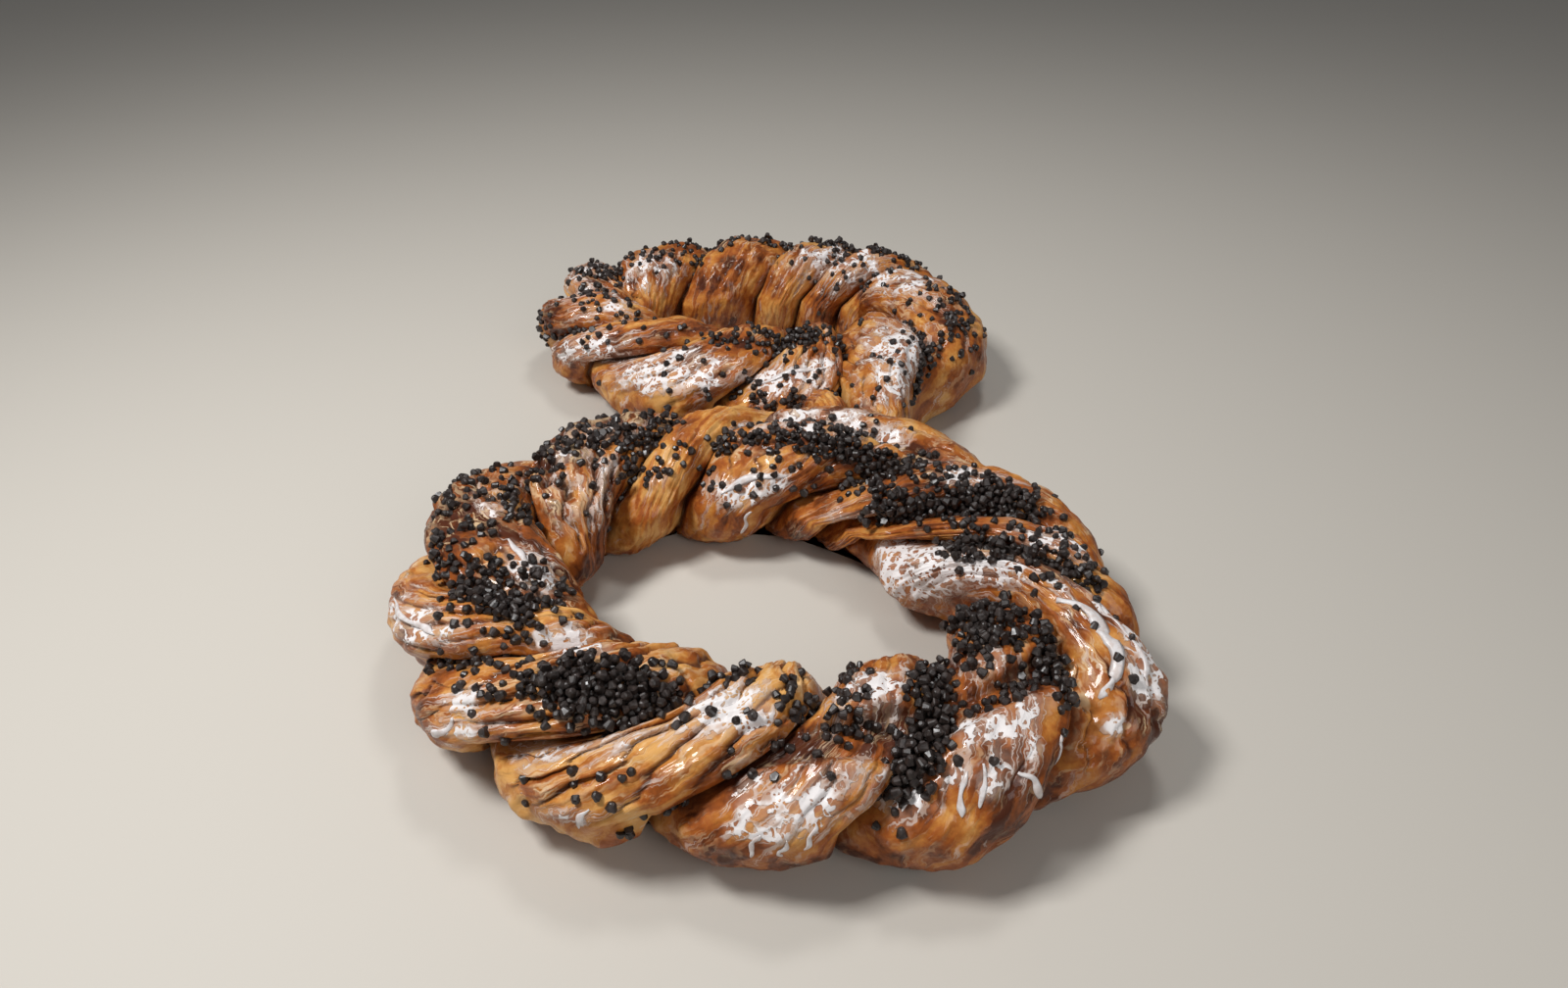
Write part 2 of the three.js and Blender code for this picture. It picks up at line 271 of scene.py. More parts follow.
def soft_spots(rows, position, tube):
    """The sum of soft round spots, given by their middles, reaches and strengths."""
    total = np.zeros(len(position))
    for middle, angle, reach, tube_reach, most in rows:
        total += most * np.exp(-(((position - middle) / reach) ** 2) - ((tube - angle) / tube_reach) ** 2)
    return total


# How sharply an icing patch ends, the brush marks and blotches in it, and the thin film beyond it.
# Ripples, here and below, are given by amount, wavelength and seed.
PATCH_EDGE = 1.6
BRUSH_STRETCH = np.array([0.5, 1.0, 1.0])
BRUSH_MARKS = (0.12, 12, 6)
ICING_BLOTCHES = (0.14, 26, 7)
ICING_UNEVEN = (0.05, 0.45)
ICING_FILM = 0.05
ICING_MOST = 1.3


def icing_amount(rope, position, tube, lie):
    """How much icing lies on the crust: above a half it covers it."""
    around = len(rope["strands"]) - 1
    amount = np.zeros(len(position))
    for middle, angle, reach, tube_reach, most in rope["icing"]:
        away = (position - middle + around / 2) % around - around / 2
        far = (away / reach) ** 2 + ((tube - angle) / tube_reach) ** 2
        amount = np.maximum(amount, most * np.exp(-far**PATCH_EDGE / 2))
    uneven = waves(lie["strand"] * BRUSH_STRETCH, *BRUSH_MARKS) + waves(lie["rough"], *ICING_BLOTCHES)
    return np.clip(amount + uneven * smoothstep(amount, *ICING_UNEVEN) + ICING_FILM, 0, ICING_MOST)


# Half a degree each way gives a rope's direction. One degree round the tube is about 0.9 mm of crust and a
# strand is about 70 mm wide. Strands lie far apart for the ripples, so none runs on into the next strand.
DIRECTION_STEP = 0.5
TURN_MM = 0.9
STRAND_WIDE = 70
STRAND_APART = 300.0
# The layers of dough: how they wander, how blunt, deep and tilted they are, the thinner layers in each,
# and where across the strand and round the tube they show.
LAYER_WAVES = ((0.34, 70, 1), (0.12, 22, 2), (0.04, 9, 12))
LAYER_BLUNT = 4
LAYER_DEPTH = 0.75
LAYER_TILT = 0.6
THIN_LAYERS = 4
THIN_WAVES = (0.5, 30, 9)
THIN_BLUNT = 2
THIN_RELIEF = 0.14
LAYERS_RISE = (0.02, 0.12)
LAYERS_END = (0.88, 0.98)
LAYERS_OUTER = (-15, 40)
LAYERS_INNER = (125, 180)
SHOWS_MOSTLY = 0.8
SHOWS_WAVES = (0.35, 55, 3)
SHOWS_LIMITS = (0.1, 1.3)
# The skin: its broad swells, its wrinkles along the strand, its blisters, and the icing on it.
SKIN_SWELLS = (1.0, 34, 4)
WRINKLE_STRETCH = np.array([0.3, 1, 1])
SKIN_WRINKLES = (0.3, 7, 5)
SKIN_BLISTERS = (0.4, 14, 13)
ICING_THICK = 0.6
ICING_COVERS = (0.45, 0.65)


def crust_surface(rope, position, tube):
    """Points of the crust at strand positions (strand number plus share across it) and tube angles.

    Also how each point lies: its strand and share across it, its layer of dough and its icing.
    """
    table = np.array(rope["strands"])
    number = np.clip(np.floor(position).astype(int), 0, len(table) - 2)
    across = position - number
    own = table[number]
    after = table[number + 1]
    before = table[number - 1]
    columns = range(SWELL_COLUMN, RELIEF_COLUMN + 1)
    swell, dip, dip_from, dip_to, layers, relief = (own[:, column] for column in columns)

    nose = between(across, NOSE_RISES, NOSE_ENDS)
    reach = across + NOSE_REACH * nose * np.maximum(np.sin(np.radians(tube)), NOSE_LOW)
    groove = groove_angle(own[:, :SWELL_COLUMN].T, tube)
    next_groove = groove_angle(after[:, :SWELL_COLUMN].T, tube)
    ring = groove * (1 - reach) + next_groove * reach

    middle = centre_line(rope, ring)
    along = centre_line(rope, ring + DIRECTION_STEP) - centre_line(rope, ring - DIRECTION_STEP)
    along /= np.linalg.norm(along, axis=1)[:, None]
    outward = np.stack([along[:, 1], -along[:, 0]], 1)

    edge = np.abs(2 * across - 1)
    neighbour = np.where(across < 0.5, before[:, SWELL_COLUMN], after[:, SWELL_COLUMN])
    thick = swell + (neighbour - swell) / 2 * edge**2
    depth = GROOVE_DEPTH * (1 - GROOVE_FADE * smoothstep(np.abs(tube - 90), 90, 90 + BASE_ANGLE))
    rising = np.clip(1 - across / CROWN_AT, 0, 1) ** RISE_POWER
    falling = np.clip((across - CROWN_AT) / (1 - CROWN_AT), 0, 1) ** FALL_POWER
    thick = thick * (1 - depth * (rising + falling))
    dip_start = dip_from - DIP_ARCH * edge**2
    low = between(tube, (dip_start - DIP_BANK, dip_start), (dip_to, dip_to + DIP_BANK))
    thick = thick * (1 - dip * (1 - edge**3) * low)

    inside = tube > 90
    wider = np.zeros(len(ring))
    for at, bulge_reach, inner, outer in rope["bulges"]:
        away = (ring - at + 180) % 360 - 180
        wider = wider + np.where(inside, inner, outer) * np.exp(-((away / bulge_reach) ** 2))
    if "tail" in rope:
        tail = rope["tail"]
        end = rope["end"]
        full = smoothstep(ring, tail["from"], tail["thin_to"])
        thick = thick * (tail["thin"] + (1 - tail["thin"]) * full)
        pressed = end["wider"] * smoothstep(ring, end["from"], end["to"])
        wider = wider + np.where(inside, 0, pressed)
    half_width = rope["half_width"] * (1 + wider)

    strand = np.stack([tube * TURN_MM, across * STRAND_WIDE, number * STRAND_APART], 1)
    leaf = layers * across
    for wander in LAYER_WAVES:
        leaf = leaf + waves(strand, *wander)
    in_leaf = leaf - np.floor(leaf)
    layer = 1 - np.abs(2 * in_leaf - 1) ** LAYER_BLUNT
    thin_leaf = THIN_LAYERS * leaf + waves(strand, *THIN_WAVES)
    thin_layer = 1 - np.abs(2 * (thin_leaf - np.floor(thin_leaf)) - 1) ** THIN_BLUNT
    shows = between(across, LAYERS_RISE, LAYERS_END) * between(tube, LAYERS_OUTER, LAYERS_INNER)
    shows = shows * np.clip(SHOWS_MOSTLY + waves(strand, *SHOWS_WAVES), *SHOWS_LIMITS)
    height = layer - LAYER_DEPTH + LAYER_TILT * (in_leaf - 0.5) + THIN_RELIEF * thin_layer
    height = relief * shows * height

    half_height = (rope["height"] + rope["flattened"]) / 2
    turn = np.radians(tube)
    plain = middle + outward * (half_width * thick * np.cos(turn))[:, None]
    rough = np.column_stack([plain, half_height * thick * np.sin(turn)])
    lie = {
        "number": number,
        "across": across,
        "layer": layer,
        "shows": shows,
        "strand": strand,
        "rough": rough,
        "low": low * (dip > 0),
    }
    lie["icing"] = icing_amount(rope, position, tube, lie)
    height = height + waves(rough, *SKIN_SWELLS) + waves(strand * WRINKLE_STRETCH, *SKIN_WRINKLES)
    height = height + waves(rough, *SKIN_BLISTERS)
    height = height + ICING_THICK * smoothstep(lie["icing"], *ICING_COVERS)
    thick = thick + (height - soft_spots(rope["hollows"], position, tube)) / rope["half_width"]
    out = half_width * thick * np.cos(turn)
    up = rope["height"] - half_height + half_height * thick * np.sin(turn)
    points = np.column_stack([middle + outward * out[:, None], np.maximum(up, 0)])
    return points, lie


# How dark the crust is baked: in the middle, and by its tone, on the crown, in a dip and in patches.
BAKE_MIDDLE = 0.42
BAKE_TONE = 0.2
BAKE_CROWN = 0.1
CROWN_RISES = (0.1, 0.5)
CROWN_ENDS = (0.8, 1.0)
BAKE_DIP = 0.5
BAKE_PATCHES = (0.09, 40, 8)


def bake_amount(rope, position, tube, lie):
    """How dark the crust is baked, from 0 to 1."""
    tone = np.array(rope["strands"])[lie["number"]][:, TONE_COLUMN]
    crown = between(lie["across"], CROWN_RISES, CROWN_ENDS)
    dark = BAKE_DIP * lie["low"] + soft_spots(rope["stains"], position, tube)
    patches = waves(lie["rough"], *BAKE_PATCHES)
    return np.clip(BAKE_MIDDLE + BAKE_TONE * tone + BAKE_CROWN * crown + dark + patches, 0, 1)


# The painted shade beside a groove: its share of the strand on either side, and how fast it fades.
SHADE_BEHIND = 0.16
SHADE_BEFORE = 0.05
SHADE_POWER = 1.6


def painted_groove_shade(across):
    """How much painted shade darkens the crust beside a groove, where the next strand shades it."""
    behind = np.clip(1 - across / SHADE_BEHIND, 0, 1) ** SHADE_POWER
    before = np.clip(1 - (1 - across) / SHADE_BEFORE, 0, 1)
    return np.maximum(behind, before)


# The flat grid that each tube is bent from reaches half a unit each way.
GRID_HALF = 0.5
GRID_EDGE = 0.4999


def closed_tube(columns, rows):
    """A flat grid with its long sides joined and its ends filled, and its corners' places in it, 0 to 1."""
    shell = bmesh.new()
    bmesh.ops.create_grid(shell, x_segments=columns, y_segments=rows, size=GRID_HALF)
    low = [edge for edge in shell.edges if all(vert.co.y < -GRID_EDGE for vert in edge.verts)]
    high = [edge for edge in shell.edges if all(vert.co.y > GRID_EDGE for vert in edge.verts)]
    bmesh.ops.bridge_loops(shell, edges=low + high)
    ends = [edge for edge in shell.edges if edge.is_boundary]
    caps = bmesh.ops.holes_fill(shell, edges=ends, sides=0)["faces"]
    bmesh.ops.triangulate(shell, faces=caps)
    places = np.array([vert.co[:2] for vert in shell.verts]) + GRID_HALF
    return shell, places


def finished_piece(name, shell, points):
    """A piece with its corners moved to points in millimetres and its faces turned outwards."""
    for vert, point in zip(shell.verts, points * MM):
        vert.co = point
    shell.normal_update()
    bmesh.ops.recalc_face_normals(shell, faces=shell.faces)
    mesh = bpy.data.meshes.new(name)
    shell.to_mesh(mesh)
    shell.free()
    piece = bpy.data.objects.new(name, mesh)
    bpy.context.scene.collection.objects.link(piece)
    return piece


# How far a length of rope stays short of its last groove, the lip above its base, and the relief at which
# layers of dough count as fully open.
JUST_BEFORE = 1e-6
BASE_LIP = 0.4
FULL_RELIEF = 5.0


def rope_piece(name, rope, first, last, columns, rows):
    """A closed length of rope from one groove to another, on a flat base."""
    shell, places = closed_tube(columns, rows)
    # Only the grid's own faces are numbered, and the base and ends stay flat.
    for face in shell.faces:
        face.smooth = 0 <= face.index < columns * rows
    position = first + (last - first) * np.clip(places[:, 0], 0, 1)
    tube = -BASE_ANGLE + (180 + 2 * BASE_ANGLE) * places[:, 1]
    points, lie = crust_surface(rope, np.minimum(position, last - JUST_BEFORE), tube)
    row = np.rint(places[:, 1] * rows)
    points[(row == 0) | (row == rows), 2] = 0
    beside = (row == 1) | (row == rows - 1)
    points[beside, 2] = np.maximum(points[beside, 2], BASE_LIP)
    piece = finished_piece(name, shell, points)
    relief = np.array(rope["strands"])[lie["number"]][:, RELIEF_COLUMN] / FULL_RELIEF
    # The groove attribute holds the painted shade beside each groove.
    for label, values in (
        ("icing", lie["icing"]),
        ("bake", bake_amount(rope, position, tube, lie)),
        ("layer", lie["layer"]),
        ("groove", painted_groove_shade(lie["across"])),
        ("relief", relief * np.clip(lie["shows"], 0, 1)),
    ):
        made = piece.data.attributes.new(label, "FLOAT", "POINT")
        made.data.foreach_set("value", values.astype(np.float32))
    made = piece.data.attributes.new("strand", "FLOAT_VECTOR", "POINT")
    made.data.foreach_set("vector", (lie["strand"] * MM).astype(np.float32).ravel())
    return piece


def put(tree, kind, settings, inputs):
    """A shader node with its settings, and its inputs set or linked."""
    made = tree.nodes.new(kind)
    for name, value in settings.items():
        setattr(made, name, value)
    for name, value in inputs.items():
        if isinstance(value, bpy.types.NodeSocket):
            tree.links.new(value, made.inputs[name])
        else:
            made.inputs[name].default_value = value
    return made


def math_node(tree, operation, first, second=0.0, third=0.0):
    return put(tree, "ShaderNodeMath", {"operation": operation}, {0: first, 1: second, 2: third}).outputs[0]


def times(tree, first, second):
    return math_node(tree, "MULTIPLY", first, second)


def plus(tree, first, second):
    return math_node(tree, "ADD", first, second)


def map_range(tree, value, low, high, to_low=0.0, to_high=1.0):
    inputs = {"Value": value, "From Min": low, "From Max": high, "To Min": to_low, "To Max": to_high}
    return put(tree, "ShaderNodeMapRange", {"interpolation_type": "SMOOTHSTEP"}, inputs).outputs[0]


def mix_colour(tree, share, first, second):
    settings = {"data_type": "RGBA", "blend_type": "MIX"}
    return put(tree, "ShaderNodeMix", settings, {0: share, 6: first, 7: second}).outputs[2]


def noise(tree, place, scale, detail, roughness):
    inputs = {"Vector": place, "Scale": scale, "Detail": detail, "Roughness": roughness}
    return put(tree, "ShaderNodeTexNoise", {}, inputs).outputs["Fac"]


def attribute(tree, name, output="Fac"):
    return put(tree, "ShaderNodeAttribute", {"attribute_name": name}, {}).outputs[output]


def object_place(tree):
    return put(tree, "ShaderNodeTexCoord", {}, {}).outputs["Object"]


def stretched(tree, place, scale):
    inputs = {"Vector": place, "Scale": scale}
    return put(tree, "ShaderNodeMapping", {"vector_type": "POINT"}, inputs).outputs[0]


def wandering(tree, pattern, place, scale, detail, reach):
    """A pattern's coordinates, moved about by noise so that nothing in it runs straight."""
    drift = put(tree, "ShaderNodeTexNoise", {}, {"Vector": place, "Scale": scale, "Detail": detail})
    inputs = {0: drift.outputs["Color"], 1: reach, 2: pattern}
    return put(tree, "ShaderNodeVectorMath", {"operation": "MULTIPLY_ADD"}, inputs).outputs[0]


def level_line(tree, value, thin, thick):
    """A thin line where a noise crosses its mean."""
    away = math_node(tree, "ABSOLUTE", math_node(tree, "SUBTRACT", value, 0.5))
    return map_range(tree, away, thin, thick, 1.0, 0.0)


def icing_hole(tree, place, scale, level, widest, narrowest):
    """How far a point lies outside the round holes of one size, which narrow as the icing lies thicker."""
    cells = put(tree, "ShaderNodeTexVoronoi", {"feature": "F1"}, {"Vector": place, "Scale": scale})
    radius = map_range(tree, level, 0.4, 1.15, widest, narrowest)
    return math_node(tree, "SUBTRACT", cells.outputs["Distance"], radius)


def new_material(name):
    made = bpy.data.materials.new(name)
    made.use_nodes = True
    return made, made.node_tree, made.node_tree.nodes["Principled BSDF"]


# Egg-washed crust, from pale gold to mahogany. Its open layers have pale edges, with a painted highlight on
# their tops, and painted shade darkens the gaps between them.
PALE_GOLD = (0.66, 0.34, 0.1, 1)
GOLDEN = (0.48, 0.178, 0.034, 1)
CHESTNUT = (0.31, 0.08, 0.014, 1)
MAHOGANY = (0.075, 0.018, 0.006, 1)
# Cream of the flake edges, also used as a painted highlight on the layer tops.
FLAKE_CREAM_AND_HIGHLIGHT = (0.74, 0.53, 0.31, 1)
# Painted shade colour for the gaps between layers and beside the grooves.
PAINTED_SHADE_BROWN = (0.062, 0.019, 0.011, 1)
crust, tree, shader = new_material("glazed_crust")
place = object_place(tree)
strand = attribute(tree, "strand", "Vector")
strand = wandering(tree, strand, place, scale=110.0, detail=3.0, reach=(0.012, 0.009, 0.0))
cloud = noise(tree, place, scale=34.0, detail=4.0, roughness=0.6)
patches = noise(tree, place, scale=75.0, detail=3.0, roughness=0.55)
speck = noise(tree, place, scale=420.0, detail=3.0, roughness=0.6)
flake_place = stretched(tree, strand, (34.0, 170.0, 10.0))
flake = noise(tree, flake_place, scale=1.0, detail=2.0, roughness=0.45)
fine_flake_place = stretched(tree, strand, (60.0, 460.0, 10.0))
fine_flake = noise(tree, fine_flake_place, scale=1.0, detail=2.0, roughness=0.5)
relief = attribute(tree, "relief")
layer = attribute(tree, "layer")

bake = plus(tree, attribute(tree, "bake"), map_range(tree, cloud, 0.3, 0.7, -0.34, 0.34))
bake = plus(tree, bake, map_range(tree, flake, 0.42, 0.58, -0.15, 0.15))
bake = plus(tree, bake, map_range(tree, speck, 0.3, 0.7, -0.06, 0.06))
baked = put(tree, "ShaderNodeValToRGB", {}, {"Fac": bake})
ramp = baked.color_ramp
ramp.elements[0].color = PALE_GOLD
ramp.elements[1].color = MAHOGANY
for stop, colour in ((0.3, GOLDEN), (0.6, CHESTNUT)):
    ramp.elements.new(stop).color = colour

edge_share = map_range(tree, patches, 0.45, 0.65, 0.05, 0.75)
pale_flake_and_highlight = times(tree, level_line(tree, flake, 0.008, 0.035), edge_share)
fine_share = map_range(tree, patches, 0.52, 0.7, 0.0, 0.55)
fine_edge = times(tree, level_line(tree, fine_flake, 0.01, 0.05), fine_share)
pale_flake_and_highlight = math_node(tree, "MAXIMUM", pale_flake_and_highlight, fine_edge)
pale_flake_and_highlight = times(tree, pale_flake_and_highlight, map_range(tree, relief, 0.1, 0.5, 0.35, 1.0))
# The tops of open layers turn cream: partly the flakes' own colour, partly a painted highlight.
cream_top_and_highlight = times(tree, map_range(tree, layer, 0.75, 1.0), map_range(tree, relief, 0.5, 1.2))
cream_top_and_highlight = times(tree, cream_top_and_highlight, map_range(tree, fine_flake, 0.42, 0.6, 0.0, 0.6))
pale_flake_and_highlight = math_node(tree, "MAXIMUM", pale_flake_and_highlight, cream_top_and_highlight)
crust_colour = mix_colour(tree, pale_flake_and_highlight, baked.outputs["Color"], FLAKE_CREAM_AND_HIGHLIGHT)
# Painted shade: the gaps between open layers and the crust beside each groove are darkened.
painted_gap_shade = times(tree, map_range(tree, layer, 0.05, 0.6, 0.9, 0.0), map_range(tree, relief, 0.05, 0.5))
painted_gap_shade = math_node(tree, "MAXIMUM", painted_gap_shade, times(tree, attribute(tree, "groove"), 0.85))
crust_colour = mix_colour(tree, painted_gap_shade, crust_colour, PAINTED_SHADE_BROWN)

# Icing dries on the crust as a white sheet full of small round holes, solid where it pooled and pale tan
# where it is thin, with a milky veil and single brush strokes beyond it.
ICING_TAN = (0.52, 0.37, 0.29, 1)
ICING_WHITE = (0.80, 0.76, 0.75, 1)
ICING_VEIL = (0.5, 0.35, 0.27, 1)
ICING_STROKE = (0.68, 0.58, 0.52, 1)
icing = attribute(tree, "icing")
brush_place = stretched(tree, strand, (20.0, 150.0, 10.0))
brush = noise(tree, brush_place, scale=1.0, detail=2.0, roughness=0.5)
streak_share = map_range(tree, icing, 0.5, 1.0, 0.32, 0.08)
streaks = times(tree, map_range(tree, brush, 0.3, 0.7, -1.0, 1.0), streak_share)
ragged = noise(tree, place, scale=90.0, detail=3.0, roughness=0.55)
blotch_share = map_range(tree, icing, 0.5, 1.0, 0.14, 0.32)
blotches = times(tree, map_range(tree, ragged, 0.25, 0.75, -1.0, 1.0), blotch_share)
icing_level = plus(tree, plus(tree, icing, streaks), blotches)
hole_place = wandering(tree, place, place, scale=120.0, detail=2.0, reach=(0.012, 0.012, 0.012))
large_hole = icing_hole(tree, hole_place, 135.0, icing_level, widest=0.64, narrowest=0.37)
small_hole = icing_hole(tree, hole_place, 300.0, icing_level, widest=0.52, narrowest=0.35)
within = math_node(tree, "SMOOTH_MIN", large_hole, small_hole, 0.12)
within = math_node(tree, "SMOOTH_MIN", within, math_node(tree, "SUBTRACT", icing_level, 0.4), 0.12)
icing_mask = map_range(tree, within, -0.03, 0.02)
pooled = plus(tree, icing_level, map_range(tree, cloud, 0.35, 0.65, -0.18, 0.18))
pooled = map_range(tree, pooled, 0.55, 1.0)
icing_colour = mix_colour(tree, pooled, ICING_TAN, ICING_WHITE)
icing_share = times(tree, icing_mask, map_range(tree, pooled, 0.0, 1.0, 0.62, 0.97))
veil_most = map_range(tree, patches, 0.3, 0.6, 0.1, 0.4)
veil = times(tree, map_range(tree, icing_level, 0.3, 0.75), veil_most)
crust_colour = mix_colour(tree, veil, crust_colour, ICING_VEIL)
stroke_place = stretched(tree, strand, (15.0, 210.0, 10.0))
stroke = noise(tree, stroke_place, scale=1.0, detail=2.0, roughness=0.5)
stroke_most = map_range(tree, icing_level, 0.15, 0.5, 0.0, 0.6)
stroke_share = times(tree, level_line(tree, stroke, 0.008, 0.03), stroke_most)
crust_colour = mix_colour(tree, stroke_share, crust_colour, ICING_STROKE)
surface_colour = mix_colour(tree, icing_share, crust_colour, icing_colour)
tree.links.new(surface_colour, shader.inputs["Base Color"])

gloss = map_range(tree, speck, 0.3, 0.7, 0.42, 0.6)
tree.links.new(math_node(tree, "MULTIPLY_ADD", icing_mask, 0.05, gloss), shader.inputs["Roughness"])
tree.links.new(math_node(tree, "MULTIPLY_ADD", icing_mask, -0.18, 0.36), shader.inputs["Coat Weight"])
shader.inputs["Coat Roughness"].default_value = 0.07
shader.inputs["Specular IOR Level"].default_value = 0.1
fine = math_node(tree, "MULTIPLY_ADD", flake, 0.9, times(tree, speck, 0.25))
fine = math_node(tree, "MULTIPLY_ADD", fine_flake, 0.5, fine)
fine = math_node(tree, "MULTIPLY_ADD", icing_mask, 0.5, fine)
bump = put(tree, "ShaderNodeBump", {}, {"Strength": 0.7, "Distance": 0.0012, "Height": fine})
tree.links.new(bump.outputs[0], shader.inputs["Normal"])

crust_pieces = [
    rope_piece("front_ring_near", front_ring, first=0, last=6, columns=648, rows=148),
    rope_piece("front_ring_far", front_ring, first=6, last=12, columns=648, rows=148),
    rope_piece("back_rope", back_rope, first=0, last=12, columns=720, rows=132),
]
for piece in crust_pieces:
    piece.data.materials.append(crust)
    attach(piece, "root")
    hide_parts("braided_bread")

# Icing runs
# Icing that was still wet ran off the brushed patches in flat threads and drips, and dried there.
# Each one is a low rounded bead of sugar, thicker at its end.

# Points along a run and around it, its height as a share of its width, how deep its foot lies, how far it
# is lifted, how often it is smoothed, and its wobble and uneven width with the pace of each.
RUN_STEPS = 28
RUN_SIDES = 6
RUN_RISE = 0.15
RUN_SUNK = 1.6
RUN_LIFT = 0.5
RUN_SMOOTHED = 3
RUN_WOBBLE = 0.9
RUN_BENDS = (5, 10)
RUN_UNEVEN = 0.3
RUN_LUMPS = (6, 14)
# A run starts narrow, widens over about a third of its way, swells near its end and closes in a blunt tip.
RUN_START = 0.35
RUN_FULL_AT = 0.3
BEAD_SWELL = 0.45
BEAD_AT = 0.85
BEAD_REACH = 0.12
TIP_BLUNT = 6
TIP_LEFT = 0.02
# Columns: rope; width; strand positions and tube angles of the points the run passes.
runs = [
    (front_ring, 3.4, (3.58, 38), (3.68, 29), (3.80, 13)),
    (front_ring, 2.6, (3.31, 46), (3.34, 34), (3.38, 22)),
    (front_ring, 2.4, (3.38, 48), (3.41, 36), (3.45, 26)),
    (front_ring, 2.2, (3.15, 45), (3.14, 35), (3.14, 24)),
    (front_ring, 2.6, (3.78, 44), (3.82, 35), (3.86, 25)),
    (front_ring, 2.2, (2.46, 18), (2.50, 9), (2.53, 0)),
    (front_ring, 2.0, (2.60, 18), (2.63, 9), (2.65, 2)),
    (front_ring, 2.2, (2.66, 27), (2.69, 19), (2.71, 10)),
    (front_ring, 2.4, (4.74, 72), (4.64, 50), (4.55, 34)),
    (front_ring, 3.2, (1.60, 22), (1.65, 13), (1.70, 1)),
    (front_ring, 3.4, (0.60, 28), (0.66, 19), (0.70, 10)),
    (front_ring, 2.6, (7.42, 170), (7.41, 183), (7.40, 197)),
    (front_ring, 4.0, (7.78, 155), (7.62, 143), (7.42, 138)),
    (front_ring, 4.2, (10.55, 110), (10.67, 117), (10.70, 133)),
    (front_ring, 3.0, (11.49, 26), (11.62, 42), (11.75, 53)),
    (back_rope, 3.2, (11.12, 38), (11.35, 49), (11.72, 53)),
    (front_ring, 7.6, (4.39, 93), (4.50, 85), (4.58, 78), (4.53, 71),
     (4.45, 64), (4.42, 57), (4.37, 50), (4.21, 45)),
]

# How far a place on a rope stays off its first and last groove, and the steps that give the crust's slope.
POSITION_EDGE = 0.001
NORMAL_STEP = 0.02
NORMAL_TURN = 2


def last_position(rope):
    """The strand position just before a rope's last groove."""
    return len(rope["strands"]) - 1 - POSITION_EDGE


def crust_normal(rope, position, tube):
    """Direction that points out of the crust."""
    ahead = crust_surface(rope, np.minimum(position + NORMAL_STEP, last_position(rope)), tube)[0]
    behind = crust_surface(rope, np.maximum(position - NORMAL_STEP, 0), tube)[0]
    over = crust_surface(rope, position, tube + NORMAL_TURN)[0]
    under = crust_surface(rope, position, tube - NORMAL_TURN)[0]
    normal = np.cross(ahead - behind, over - under)
    return normal / np.linalg.norm(normal, axis=1)[:, None]


def smoothed(line, passes):
    """A line with its inner points drawn towards their neighbours, several times over."""
    line = line.copy()
    for repeat in range(passes):
        line[1:-1] = (line[:-2] + 2 * line[1:-1] + line[2:]) / 4
    return line


def copies(name, shell, placed):
    """One piece made of copies of a shape, each with its corners at its own points."""
    shape = bpy.data.meshes.new("shape")
    shell.to_mesh(shape)
    shell.free()
    whole = bmesh.new()
    for repeat in placed:
        whole.from_mesh(shape)
    bpy.data.meshes.remove(shape)
    return finished_piece(name, whole, np.concatenate(placed))


draw = np.random.default_rng(5)
share = np.linspace(0, 1, RUN_STEPS)
swell = RUN_START + (1 - RUN_START) * smoothstep(share, 0, RUN_FULL_AT)
swell = swell * (1 + BEAD_SWELL * np.exp(-(((share - BEAD_AT) / BEAD_REACH) ** 2)))
swell = swell * np.sqrt(np.clip(1 + TIP_LEFT - share**TIP_BLUNT, 0, 1))


def sway(pace):
    """An uneven to and fro along a run."""
    return np.sin(share * draw.uniform(*pace) + draw.uniform(0, 6))


run_shell, places = closed_tube(RUN_STEPS - 1, RUN_SIDES - 1)
for face in run_shell.faces:
    face.smooth = True
step = np.rint(places[:, 0] * (RUN_STEPS - 1)).astype(int)
turn = np.rint(places[:, 1] * (RUN_SIDES - 1)) * 2 * np.pi / RUN_SIDES
points = []
for rope, width, *corners in runs:
    steps = np.linspace(0, len(corners) - 1, RUN_STEPS)
    way = np.stack([np.interp(steps, range(len(corners)), axis) for axis in zip(*corners)], 1)
    way = smoothed(way, RUN_STEPS // len(corners))
    position = np.clip(way[:, 0], POSITION_EDGE, last_position(rope))
    line = crust_surface(rope, position, way[:, 1])[0]
    normal = crust_normal(rope, position, way[:, 1])
    side = np.cross(normal, np.gradient(line, axis=0))
    side /= np.linalg.norm(side, axis=1)[:, None]
    line = smoothed(line, RUN_SMOOTHED) + normal * RUN_LIFT
    line = line + side * (RUN_WOBBLE * sway(RUN_BENDS))[:, None]
    half = width / 2 * swell * (1 + RUN_UNEVEN * sway(RUN_LUMPS))
    out = half[step] * np.cos(turn)
    up = np.sin(turn) * np.where(np.sin(turn) > 0, half[step] * 2 * RUN_RISE, RUN_SUNK)
    points.append(line[step] + side[step] * out[:, None] + normal[step] * up[:, None])
icing_runs = copies("icing_runs", run_shell, points)

SUGAR_WHITE = (0.70, 0.665, 0.66, 1)
SUGAR_THIN = (0.60, 0.52, 0.49, 1)
sugar, tree, shader = new_material("sugar_icing")
mottle = noise(tree, object_place(tree), scale=300.0, detail=2.0, roughness=0.5)
sugar_colour = mix_colour(tree, map_range(tree, mottle, 0.4, 0.65), SUGAR_WHITE, SUGAR_THIN)
tree.links.new(sugar_colour, shader.inputs["Base Color"])
shader.inputs["Roughness"].default_value = 0.42
shader.inputs["Coat Weight"].default_value = 0.2
shader.inputs["Coat Roughness"].default_value = 0.15
icing_runs.data.materials.append(sugar)
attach(icing_runs, "root")
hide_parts("braided_bread")

